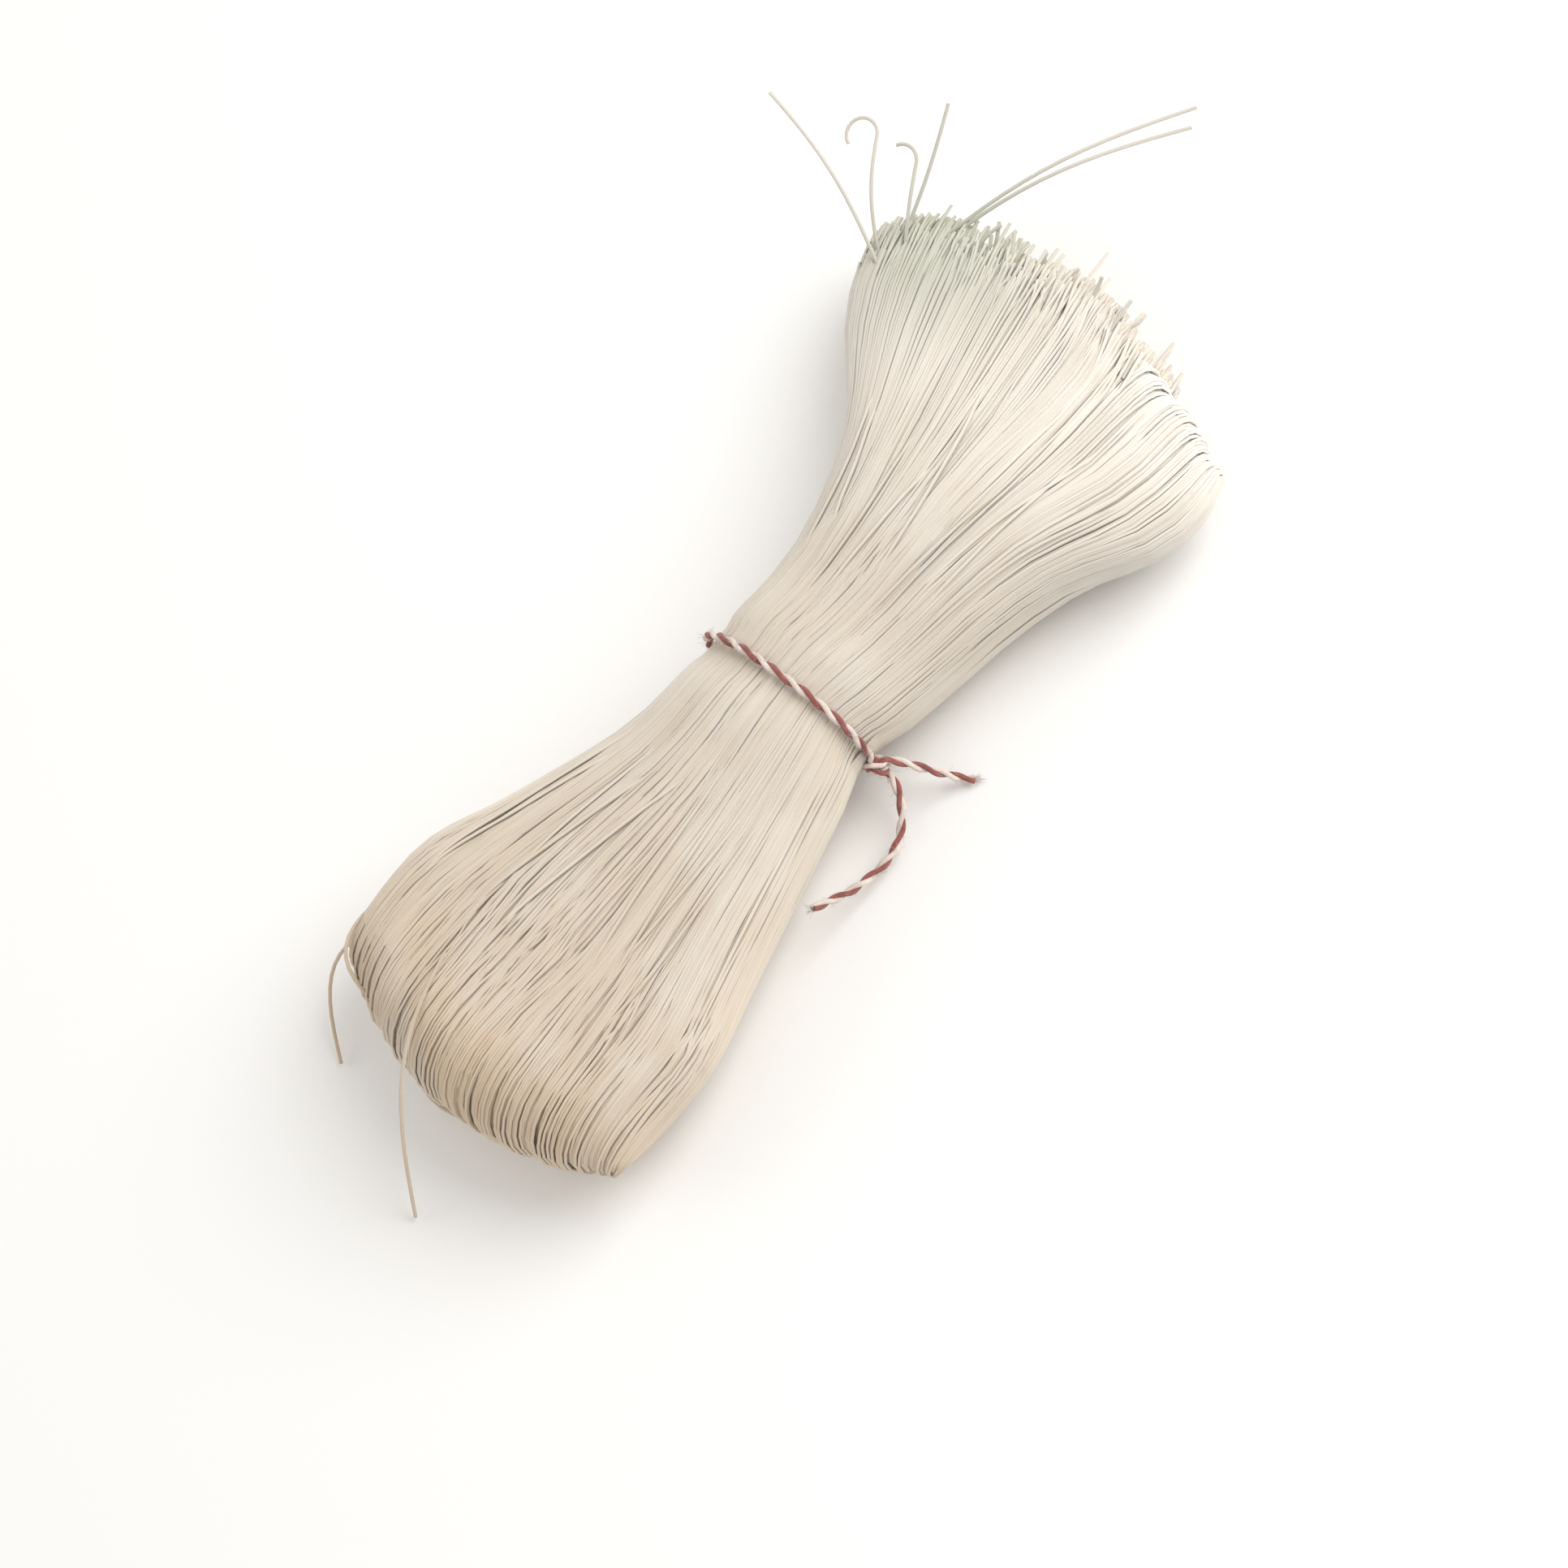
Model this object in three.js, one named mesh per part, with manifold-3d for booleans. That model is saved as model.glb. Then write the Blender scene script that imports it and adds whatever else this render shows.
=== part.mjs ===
// A hank of dried mung bean vermicelli, tied round its waist with red and white twine.
// Millimetres, +Z up. The hank lies on its back: +X runs along the noodles to their cut ends, and the
// folded end is at -X. It flares from the tied waist into a wide lobe at each end.

import * as THREE from "three";
import { mergeVertices } from "three/addons/utils/BufferGeometryUtils.js";
import Module from "manifold-3d";

// ---- driving dimensions -------------------------------------------------------------------------

const CUT_REACH = 92; // from the twine to the middle of the cut end
const FOLD_REACH = 97; // from the twine to the crown of the folded end
const WAIST_WIDTH = 39;
const WAIST_THICKNESS = 31;
const CUT_WIDTH = 91;
const CUT_THICKNESS = 27;
const FOLD_WIDTH = 77;
const FOLD_THICKNESS = 33;
const BELLY_THICKNESS = 34; // of both lobes, midway along them
const END_ARC = 11; // how far an end's corners stay behind its middle
const NOODLE_DIAMETER = 0.75;
const TWINE_DIAMETER = 1.8;

// The part's origin is under the middle of its bounding box, and this is where that lies in the
// hank's own frame, whose X is zero at the twine.
const BOX_MIDDLE = { x: 7, y: 18.4 };

// ---- secondary sizes ----------------------------------------------------------------------------

const WAIST_LIFT = 3; // the pinched waist hangs clear of the table
const SECTION_POWER = 2.35; // a superellipse: 2 is an ellipse, more is squarer
const FLAT_SHARE = 0.93; // of the half thickness, where the underside lies flat
const TWINE_BITE = 1.3; // how far the twine sinks into the noodles
const BITE_HALF_LENGTH = 1.5;
const BITE_SHOULDER = 3.2;
const FIT_GAP = 0.3; // between the twine and the noodles
const TWINE_LEAN = { middle: 1.3, over: 2.2, across: -1.2 }; // how far along the hank the loop leans
const TRESS_EDGE = -0.45; // where the folded tress beside the cut ends begins, as a share of the width
const TRESS_NOSE = 13; // length over which that tress rounds off
const RIB_HEIGHT = 0.42;
const RIBS_AROUND = 42;
const RING_POINTS = 2 * RIBS_AROUND;
const SLIVER = 0.01; // details smaller than this are cleared from a joined solid
const SEED = 7;

// ---- small helpers ------------------------------------------------------------------------------

const clamp01 = (t) => Math.min(1, Math.max(0, t));
const smooth = (t) => clamp01(t) ** 2 * (3 - 2 * clamp01(t));
const mix = (a, b, t) => a + (b - a) * t;
const bump = (distance, width) => Math.exp(-((distance / width) ** 2));
const signedPower = (value, power) => Math.sign(value) * Math.abs(value) ** power;

function randomSource(seed) {
  let state = seed >>> 0;
  return () => {
    state = (state + 0x6d2b79f5) >>> 0;
    let t = Math.imul(state ^ (state >>> 15), 1 | state);
    t = (t + Math.imul(t ^ (t >>> 7), 61 | t)) ^ t;
    return ((t ^ (t >>> 14)) >>> 0) / 4294967296;
  };
}
const random = randomSource(SEED);
const between = (low, high) => mix(low, high, random());

// ---- the hank's form, as functions of the distance x from the twine ----------------------------------

function halfWidth(x) {
  const share = x > 0 ? clamp01(x / (CUT_REACH - 4)) ** 1.6 : clamp01(-x / (FOLD_REACH - 20));
  return mix(WAIST_WIDTH, x > 0 ? CUT_WIDTH : FOLD_WIDTH, smooth(share)) / 2;
}

function halfThickness(x) {
  const share = clamp01(Math.abs(x) / (x > 0 ? CUT_REACH : FOLD_REACH));
  const end = x > 0 ? CUT_THICKNESS : FOLD_THICKNESS;
  const belly = mix(WAIST_THICKNESS, BELLY_THICKNESS, smooth(share / 0.45));
  return mix(belly, end, smooth((share - 0.5) / 0.5)) / 2;
}

// The hank is bowed a little in plan.
function middleY(x) {
  const share = clamp01(Math.abs(x) / (x > 0 ? CUT_REACH : FOLD_REACH));
  const bow = x > 0 ? 5.5 * share ** 2 : 6.2 * smooth(share / 0.8);
  const sway = x > 0 ? 3.6 : 1.6;
  return bow - sway * Math.sin(Math.PI * share);
}

const lift = (x) => WAIST_LIFT * (1 - smooth(Math.abs(x) / 26));
const middleZ = (x) => lift(x) + FLAT_SHARE * halfThickness(x);

// The twine's bite: 1 under it, 0 past the shoulders.
function bite(x) {
  return 1 - smooth((Math.abs(x) - BITE_HALF_LENGTH) / (BITE_SHOULDER - BITE_HALF_LENGTH));
}

// The valleys between tresses on the upper side, each as a depth at (x, across), across running from
// -1 to 1 over the width.
function valleyDepth(x, across) {
  const betweenTresses = 2.6 * smooth(x / 45) * bump(across - TRESS_EDGE, 0.075);
  const foldedShoulder = 1.7 * smooth(-x / 30) * bump(across - 0.42, 0.07);
  const foldedShallow = 0.8 * smooth(-x / 40) * bump(across + 0.28, 0.06);
  const cutShallow = 0.9 * smooth(x / 40) * bump(across - 0.3, 0.06);
  return betweenTresses + foldedShoulder + foldedShallow + cutShallow;
}

// A point of the hank's skin. turn is the angle round the section, from +Y over the top.
function skin(x, turn, { sink = 0, rib = 0, squeeze = 1, push = 0 } = {}) {
  const across = signedPower(Math.cos(turn), 2 / SECTION_POWER);
  const upward = signedPower(Math.sin(turn), 2 / SECTION_POWER);
  const nipped = TWINE_BITE * bite(x);
  const valley = Math.sin(turn) > 0 ? valleyDepth(x, across) * Math.sin(turn) : 0;
  const grown = rib * (1 - bite(x)) - nipped - sink;
  const y = middleY(x) + across * (halfWidth(x) + grown);
  const height = (halfThickness(x) + grown) * upward - valley;
  const z = middleZ(x) + height * squeeze;
  const endward = smooth((Math.abs(x) - 42) / 40);
  const arc = -Math.sign(x) * END_ARC * endward * across ** 2;
  const { middle, over, across: sideways } = TWINE_LEAN;
  const lean = (middle + over * Math.sin(turn) + sideways * Math.cos(turn)) * (1 - smooth(Math.abs(x) / 26));
  const ground = lift(x) + nipped + Math.min(0, sink);
  return new THREE.Vector3(x + arc + lean + push, y, Math.max(z, ground));
}

// ---- solids ---------------------------------------------------------------------------------------

const wasm = await Module();
wasm.setup();

function solidOf(geometry) {
  const bare = new THREE.BufferGeometry().setAttribute("position", geometry.getAttribute("position"));
  if (geometry.index) bare.setIndex(geometry.index);
  const merged = mergeVertices(bare, 1e-4);
  const solid = new wasm.Manifold(
    new wasm.Mesh({
      numProp: 3,
      vertProperties: merged.getAttribute("position").array,
      triVerts: new Uint32Array(merged.index.array),
    }),
  );
  return solid;
}

function geometryOf(solid) {
  const mesh = solid.simplify(SLIVER).getMesh();
  const positions = new Float32Array(mesh.numVert * 3);
  for (let i = 0; i < mesh.numVert; i++) {
    positions.set(mesh.vertProperties.subarray(i * mesh.numProp, i * mesh.numProp + 3), i * 3);
  }
  const geometry = new THREE.BufferGeometry();
  geometry.setAttribute("position", new THREE.BufferAttribute(positions, 3));
  geometry.setIndex(new THREE.BufferAttribute(mesh.triVerts, 1));
  geometry.computeVertexNormals();
  return geometry;
}

// A closed skin over rings of equal length, whose first and last rings are folded flat onto a line.
function loft(rings) {
  const count = rings[0].length;
  const corners = [];
  for (let i = 0; i + 1 < rings.length; i++) {
    for (let j = 0; j < count; j++) {
      const next = (j + 1) % count;
      const [a, b, c, d] = [rings[i][j], rings[i][next], rings[i + 1][next], rings[i + 1][j]];
      const faces = (i + j) % 2 ? [a, b, c, a, c, d] : [a, b, d, b, c, d];
      for (let k = 0; k < 6; k += 3) {
        const [p, q, r] = faces.slice(k, k + 3);
        const flat = p.distanceTo(q) < 1e-5 || q.distanceTo(r) < 1e-5 || r.distanceTo(p) < 1e-5;
        if (!flat) corners.push(p, q, r);
      }
    }
  }
  return new THREE.BufferGeometry().setFromPoints(corners);
}

function roundSection(diameter, sides) {
  const corners = [];
  for (let i = 0; i < sides; i++) {
    const turn = (2 * Math.PI * i) / sides;
    corners.push(new THREE.Vector2(Math.cos(turn), Math.sin(turn)).multiplyScalar(diameter / 2));
  }
  return new THREE.Shape(corners);
}

function tube(points, diameter, sides, steps) {
  const path = new THREE.CatmullRomCurve3(points, false, "centripetal");
  return new THREE.ExtrudeGeometry(roundSection(diameter, sides), {
    steps,
    bevelEnabled: false,
    extrudePath: path,
  });
}

// ---- the vermicelli -----------------------------------------------------------------------------------

function hankCore() {
  const rings = [];
  const ring = (x, squeeze, roughness) => {
    const points = [];
    for (let j = 0; j < RING_POINTS; j++) {
      const turn = (2 * Math.PI * j) / RING_POINTS;
      const across = signedPower(Math.cos(turn), 2 / SECTION_POWER);
      const rib = j % 2 ? RIB_HEIGHT : -RIB_HEIGHT / 2;
      const inTress = x > 0 ? smooth((TRESS_EDGE + 0.04 - across) / 0.08) : 0;
      const nose = clamp01((x - (CUT_REACH - TRESS_NOSE)) / TRESS_NOSE);
      const rounded = Math.sqrt(1 - (0.97 * nose) ** 2);
      const push = roughness * (1 - inTress) * between(-1, 1);
      points.push(skin(x, turn, { sink: 0.5, rib, squeeze: squeeze * mix(1, rounded, inTress), push }));
    }
    rings.push(points);
  };
  const noseLength = FOLD_THICKNESS / 2;
  const noseSteps = 5;
  for (let i = 0; i < noseSteps; i++) {
    const turn = (Math.PI / 2) * (i / noseSteps);
    ring(-FOLD_REACH + noseLength * (1 - Math.cos(turn)), Math.sin(turn), 0);
  }
  const foldSteps = 8;
  for (let i = 0; i < foldSteps; i++) {
    ring(mix(-FOLD_REACH + noseLength, -8, i / (foldSteps - 1)), 1, 0);
  }
  for (const x of [-BITE_SHOULDER, -BITE_HALF_LENGTH, BITE_HALF_LENGTH, BITE_SHOULDER]) ring(x, 1, 0);
  const cutSteps = 10;
  for (let i = 0; i < cutSteps; i++) {
    ring(mix(8, CUT_REACH - 1.5, (i / (cutSteps - 1)) ** 0.92), 1, 0);
  }
  ring(CUT_REACH, 0.98, 0.9);
  ring(CUT_REACH, 0.62, 1.1);
  ring(CUT_REACH, 0.3, 1.1);
  ring(CUT_REACH + 0.4, 0, 0);
  return loft(rings);
}

// Noodle ends that stand out of the cut end.
function cutEnds(count) {
  const ends = [];
  for (let i = 0; i < count; i++) {
    const across = mix(TRESS_EDGE + 0.09, 0.97, (i + between(0.2, 0.8)) / count);
    const level = between(-0.6, 0.8);
    const turn = Math.acos(signedPower(across, SECTION_POWER / 2));
    const rim = skin(CUT_REACH - 9, turn, { sink: 1 });
    const root = new THREE.Vector3(rim.x, rim.y, mix(middleZ(CUT_REACH), rim.z, level));
    const spread = across * 0.34 + between(-0.16, 0.16);
    const length = 9 + between(2.5, 7.5) * (i % 4 === 1 ? 1.7 : 1);
    const tip = root.clone().add(new THREE.Vector3(length, length * spread, between(-0.6, 3.2)));
    tip.z = Math.max(tip.z, 1);
    const bend = new THREE.Vector3(0, between(-0.7, 0.7), between(-0.3, 0.7));
    ends.push([root, root.clone().lerp(tip, 0.55).add(bend), tip]);
  }
  return ends;
}

// Loose noodles that run over the top from the waist and dive back in near an end.
function looseOnTop(count) {
  const runs = [];
  for (let i = 0; i < count; i++) {
    const side = i % 2 ? 1 : -1;
    const startTurn = Math.PI * mix(0.04, 0.96, (i + between(0.1, 0.9)) / count);
    const drift = between(-0.07, 0.07) * Math.PI;
    const [from, to] = [side * between(6, 30), side * between(52, 80)];
    const points = [];
    const steps = 6;
    for (let k = 0; k <= steps; k++) {
      const share = k / steps;
      const sunk = k === 0 || k === steps ? 2.2 : -0.62 - NOODLE_DIAMETER / 4;
      points.push(skin(mix(from, to, share), startTurn + drift * share, { sink: sunk }));
    }
    runs.push(points);
  }
  return runs;
}

// Strays that stick out, each from a root in the hank to a tip, and how far the middle bows across
// and up. A curled one winds on past its tip by that angle, in radians.
const STRAYS = [
  { root: [80, 36, 21], tip: [132, 4, 28], bow: [1.5, 4] },
  { root: [80, 36, 20], tip: [129, 4, 25], bow: [1.2, 5] },
  { root: [76, 42, 20], tip: [90, 78, 32], bow: [-2, 1] },
  { root: [76, 41, 18], tip: [107, 44.5, 32], bow: [-0.5, -1] },
  { root: [78, 37, 20], tip: [95.5, 46, 26], bow: [0, 1], curl: 2 },
  { root: [76, 42, 18], tip: [96, 57, 26], bow: [1, 2], curl: 3.6 },
  { root: [-68, 42, 16], tip: [-91, 22, 20], bow: [-10.5, 4] },
  { root: [-76, 40, 14], tip: [-106, 38, 1], bow: [-8, 3] },
  { root: [-74, 16, 31.5], tip: [-118, 4, 1], bow: [0, 11] },
  { root: [-86, 34, 9], tip: [-90, -6, 7], bow: [-11, -3] },
];
const CURL_RADIUS = 3.2;

function strayPath({ root, tip, bow, curl = 0 }) {
  const start = new THREE.Vector3(...root);
  const end = new THREE.Vector3(...tip);
  const way = end.clone().sub(start);
  const across = new THREE.Vector3(-way.y, way.x, 0).normalize();
  const points = [start];
  for (const share of [0.25, 0.5, 0.75]) {
    const swell = Math.sin(Math.PI * share);
    const point = start.clone().addScaledVector(way, share);
    point.addScaledVector(across, bow[0] * swell);
    point.z += bow[1] * swell;
    points.push(point);
  }
  points.push(end);
  const heading = way.normalize();
  const curlSteps = curl > 0 ? 4 : 0;
  for (let i = 1; i <= curlSteps; i++) {
    const turn = (curl * i) / curlSteps;
    const point = end.clone().addScaledVector(heading, CURL_RADIUS * Math.sin(turn));
    points.push(point.addScaledVector(across, CURL_RADIUS * (1 - Math.cos(turn))));
  }
  return points;
}

function vermicelli() {
  let solid = solidOf(hankCore());
  const add = (points, sides, steps) => {
    solid = solid.add(solidOf(tube(points, NOODLE_DIAMETER, sides, steps)));
  };
  for (const points of cutEnds(34)) add(points, 4, 4);
  for (const points of looseOnTop(22)) add(points, 4, 18);
  for (const stray of STRAYS) add(strayPath(stray), 5, stray.curl ? 14 : 10);
  return geometryOf(solid);
}

// ---- the twine ----------------------------------------------------------------------------------------

const KNOT_TURN = Math.PI * 1.11; // the knot lies on the -Y side, a little below the middle
const KNOT_SIZE = { x: 2.1, y: 1.7, z: 2.5 }; // half axes
const LOOP_GAP = 0.022; // turns left out of the loop, inside the knot

// The twine's centre line where it goes round the waist.
function loopPoint(turn) {
  return skin(0, turn, { sink: -(FIT_GAP + TWINE_DIAMETER / 2) });
}

function twine() {
  const loop = [];
  const points = 40;
  for (let i = 0; i <= points; i++) {
    const share = mix(LOOP_GAP / 2, 1 - LOOP_GAP / 2, i / points);
    loop.push(loopPoint(KNOT_TURN + 2 * Math.PI * share));
  }
  const knot = loopPoint(KNOT_TURN);
  knot.y -= 0.9;
  const table = TWINE_DIAMETER / 2;
  const at = (x, y, z) => new THREE.Vector3(x, y, z);
  const backTail = [
    knot,
    at(knot.x + 0.4, knot.y - 2.8, knot.z - 2.6),
    at(-2.2, -26.2, 5),
    at(-9, -28.6, 2.6),
    at(-18.3, -28.2, 4.8),
    at(-26, -27, 10.5),
  ];
  const outerTail = [
    knot,
    at(knot.x + 2.6, knot.y - 1.8, knot.z - 0.4),
    at(7.4, -26.4, 6),
    at(9.6, -29.6, table + 0.9),
    at(11, -31.6, table),
  ];
  const lump = new THREE.SphereGeometry(1, 12, 8);
  lump.scale(KNOT_SIZE.x, KNOT_SIZE.y, KNOT_SIZE.z);
  lump.translate(knot.x, knot.y, knot.z);
  // one turn of twine that crosses the knot
  const wrap = new THREE.TorusGeometry(KNOT_SIZE.z * 0.66, TWINE_DIAMETER / 2, 8, 14);
  wrap.rotateY(Math.PI / 2);
  wrap.rotateX(0.5);
  wrap.translate(knot.x, knot.y - 0.4, knot.z);
  let solid = solidOf(tube(loop, TWINE_DIAMETER, 8, 36));
  solid = solid.add(solidOf(tube(backTail, TWINE_DIAMETER, 8, 12)));
  solid = solid.add(solidOf(tube(outerTail, TWINE_DIAMETER, 8, 8)));
  solid = solid.add(solidOf(lump));
  solid = solid.add(solidOf(wrap));
  return geometryOf(solid);
}

// ---- materials and the part -----------------------------------------------------------------------

const noodleMaterial = new THREE.MeshStandardMaterial({ color: 0xebe3d6, roughness: 0.4, metalness: 0 });
const twineMaterial = new THREE.MeshStandardMaterial({ color: 0xd9a7a2, roughness: 0.9, metalness: 0 });

function piece(name, geometry, material) {
  const mesh = new THREE.Mesh(geometry, material);
  mesh.name = name;
  return mesh;
}

const hank = new THREE.Group();
hank.position.set(-BOX_MIDDLE.x, -BOX_MIDDLE.y, 0);
hank.add(piece("vermicelli", vermicelli(), noodleMaterial));
hank.add(piece("tie_twine", twine(), twineMaterial));

const part = new THREE.Group();
part.add(hank);
export default part;
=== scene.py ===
# The looks of a hank of dried mung bean vermicelli: some nine hundred noodles laid over a core, the
# cut ends of those inside it, and the two-ply red and white twine tied round its waist.
#
# Sizes are in millimetres until a mesh is made, in the hank's own frame, whose X is zero at the
# twine. Blender's unit is the metre, and the part's origin lies under the middle of its box.

import math

import bpy
import numpy as np
from mathutils import Matrix, Vector


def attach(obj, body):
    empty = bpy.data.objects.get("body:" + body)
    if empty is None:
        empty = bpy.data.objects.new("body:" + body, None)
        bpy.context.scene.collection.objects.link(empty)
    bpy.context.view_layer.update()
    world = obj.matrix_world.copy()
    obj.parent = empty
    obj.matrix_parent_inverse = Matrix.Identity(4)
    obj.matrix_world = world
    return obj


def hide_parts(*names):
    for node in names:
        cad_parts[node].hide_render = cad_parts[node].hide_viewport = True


# ---- the hank's driving sizes, as its solids have them -------------------------------------------

MM = 0.001
BOX_MIDDLE = np.array([7.0, 18.4, 0.0])
CUT_REACH = 92.0  # from the twine to the cut end
FOLD_REACH = 97.0  # from the twine to the folded end
WAIST_WIDTH = 39.0
WAIST_THICKNESS = 31.0
CUT_WIDTH = 91.0
CUT_THICKNESS = 27.0
FOLD_WIDTH = 77.0
FOLD_THICKNESS = 33.0
BELLY_THICKNESS = 34.0  # where a lobe is thickest
END_ARC = 11.0  # by which the sides of an end stay behind its middle
WAIST_LIFT = 3.0  # of the waist's underside over the table
SECTION_POWER = 2.35  # of a section's outline: 2 is an ellipse, and more is squarer
FLAT_SHARE = 0.93  # of half the thickness lies under the middle, as the underside is pressed flat
TRESS_EDGE = -0.45  # where the folded tress borders on the cut ends, from -1 to 1 over the width
TRESS_NOSE = 13.0  # length over which that tress rounds off
FOLD_NOSE = FOLD_THICKNESS / 2

# ---- the noodles ---------------------------------------------------------------------------------

NOODLE_DIAMETER = 0.75
NOODLE_SIDES = 4
OUTER_DEPTH = 0.4  # of the outermost noodles' middles under the skin
LAYER_PITCH = 0.4
NOODLES_IN_LAYER = (236, 226, 186, 130, 90)  # each passes once over the hank and once under it
SPACED_AT = 60.0  # where along the hank the noodles of a layer are an equal distance apart
CORE_DEPTH = 2.1
CORE_END = 88.5  # the core stops short of the cut face
CUT_FACE_PITCH = 0.74  # between the short lengths that fill the cut face, inside the outer layers
ROW_PITCH = 0.87 * CUT_FACE_PITCH  # between their rows, each of which lies in the last one's gaps
RAGGED = 2.1  # how unevenly the noodles are cut
LOOSE_ON_TOP = 18
RIM_ENDS = 26  # that stand out round the cut end
CURL_RADIUS = 3.2  # of a stray that winds on past its tip
LYING_CLOSE = 2.2  # from the core: up to here a noodle is shaded with the hank's face
STANDING_FREE = 3.4  # and from here on by itself
SIDES_DRAW_IN = (50.0, 80.0)  # over which a noodle's upper and under side come to the same turn
SIDES_APART = 37.0  # until then they sway as if they lay this far apart along the hank
LOCKS_FULL = 55.0  # from here outwards the locks show fully

# A noodle drifts to the side in two waves: how far it strays, the shortest wave and the longest.
SWAYS = ((0.4, 70, 150), (0.11, 26, 44))

# Noodles gather into locks, coarse and fine: how many round the hank, how strongly, and how deep the
# hollows between them are.
LOCKS = ((9.0, 0.22, 0.16), (23.0, 0.15, 0.05))

# ---- the twine -----------------------------------------------------------------------------------

TWINE_DIAMETER = 1.8
PLY_DIAMETER = 1.0
TWINE_BITE = 1.3  # how deep it presses into the hank
FIT_GAP = 0.3  # between the twine and the hank
TWINE_LAY = 7.6  # length in which a ply goes once round the other
TWINE_LEAN = {"middle": 1.3, "over": 2.2, "across": -1.2}  # how its loop lies askew round the waist
KNOT_TURN = math.pi * 1.11  # where round the waist the knot is
FRAYED_FIBRES = 26  # at each tip
FUZZ_FIBRES = 420
FIBRE_DIAMETER = 0.06

rng = np.random.default_rng(20)

# ---- the camera, as the photograph has it --------------------------------------------------------

FRAME_PIXELS = 1932
PIXELS_PER_MM = 6.7
WAIST_PIXEL = (968, 870)
WAIST_MIDDLE = (0, 0, 17.4)
CAMERA_ELEVATION = math.radians(60)
CAMERA_ROLL = math.radians(51.7)  # the hank runs to the upper right
LENS = 100.0
SENSOR = 36.0

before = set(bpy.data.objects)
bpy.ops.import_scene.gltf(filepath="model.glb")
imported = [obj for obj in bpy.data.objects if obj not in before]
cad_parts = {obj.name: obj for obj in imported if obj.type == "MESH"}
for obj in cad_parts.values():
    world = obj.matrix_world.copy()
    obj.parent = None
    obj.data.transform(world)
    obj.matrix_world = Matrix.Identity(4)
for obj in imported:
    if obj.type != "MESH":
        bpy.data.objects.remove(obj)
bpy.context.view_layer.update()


# ---- the hank's form -----------------------------------------------------------------------------


def mix(a, b, t):
    return a + (b - a) * t


def smooth(t):
    t = np.clip(t, 0, 1)
    return t * t * (3 - 2 * t)


def bump(distance, width):
    return np.exp(-((distance / width) ** 2))


def signed_power(value, power):
    return np.sign(value) * np.abs(value) ** power


def share_of_reach(x):
    return np.clip(np.abs(x) / np.where(x > 0, CUT_REACH, FOLD_REACH), 0, 1)


def half_width(x):
    cut_share = np.clip(x / (CUT_REACH - 4), 0, 1) ** 1.6
    fold_share = np.clip(-x / (FOLD_REACH - 20), 0, 1)
    end_width = np.where(x > 0, CUT_WIDTH, FOLD_WIDTH)
    return mix(WAIST_WIDTH, end_width, smooth(np.where(x > 0, cut_share, fold_share))) / 2


def half_thickness(x):
    share = share_of_reach(x)
    end = np.where(x > 0, CUT_THICKNESS, FOLD_THICKNESS)
    belly = mix(WAIST_THICKNESS, BELLY_THICKNESS, smooth(share / 0.45))
    return mix(belly, end, smooth((share - 0.5) / 0.5)) / 2


def middle_y(x):
    share = share_of_reach(x)
    bow = np.where(x > 0, 5.5 * share**2, 6.2 * smooth(share / 0.8))
    sway = np.where(x > 0, 3.6, 1.6)
    return bow - sway * np.sin(math.pi * share)


def near_waist(x):
    return 1 - smooth(np.abs(x) / 26)


def lift(x):
    return WAIST_LIFT * near_waist(x)


def middle_z(x):
    return lift(x) + FLAT_SHARE * half_thickness(x)


def bite(x):
    """1 under the twine, 0 where the noodles have risen to the hank's full girth again."""
    return 1 - smooth((np.abs(x) - 1.5) / 6.5)


def valley_depth(x, across):
    """The valleys between tresses on the upper side. across runs from -1 to 1 over the width."""
    between_tresses = 2.6 * smooth(x / 45) * bump(across - TRESS_EDGE, 0.075)
    folded_shoulder = 1.7 * smooth(-x / 30) * bump(across - 0.42, 0.07)
    folded_shallow = 0.8 * smooth(-x / 40) * bump(across + 0.28, 0.06)
    cut_shallow = 0.9 * smooth(x / 40) * bump(across - 0.3, 0.06)
    return between_tresses + folded_shoulder + folded_shallow + cut_shallow


def across_of(turn):
    return signed_power(np.cos(turn), 2 / SECTION_POWER)


def skin(x, turn, sink=0.0, squeeze=1.0):
    """Points of the hank at turn round its section, from +Y over the top, sink under its skin. squeeze
    is 1 for the full thickness and 0 where the upper and the under side meet."""
    x = np.asarray(x, float) + np.zeros_like(turn)
    across = across_of(turn)
    upward = signed_power(np.sin(turn), 2 / SECTION_POWER)
    nipped = TWINE_BITE * bite(x)
    grown = -nipped - sink
    y = middle_y(x) + across * (half_width(x) + grown)
    valley = np.maximum(np.sin(turn), 0) * valley_depth(x, across)
    z = middle_z(x) + ((half_thickness(x) + grown) * upward - valley) * squeeze
    endward = smooth((np.abs(x) - 42) / 40)
    arc = -np.sign(x) * END_ARC * endward * across**2
    lean = TWINE_LEAN["middle"] + TWINE_LEAN["over"] * np.sin(turn) + TWINE_LEAN["across"] * np.cos(turn)
    lengthwise = x + arc + lean * near_waist(x)
    ground = lift(x) + nipped + sink
    return np.stack([lengthwise, y, np.maximum(z, ground)], axis=-1)


def turns_evenly_spread(count):
    """Turns from 0 to pi, whose places round the hank are about an equal distance apart."""
    turns = np.linspace(0, math.pi, 721)
    points = skin(SPACED_AT, turns, OUTER_DEPTH)
    travelled = np.concatenate([[0], np.cumsum(np.linalg.norm(np.diff(points, axis=0), axis=1))])
    wanted = (np.arange(count) + rng.uniform(0.2, 0.8, count)) / count * travelled[-1]
    return np.interp(wanted, travelled, turns)


# ---- noodles as paths ----------------------------------------------------------------------------

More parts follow.
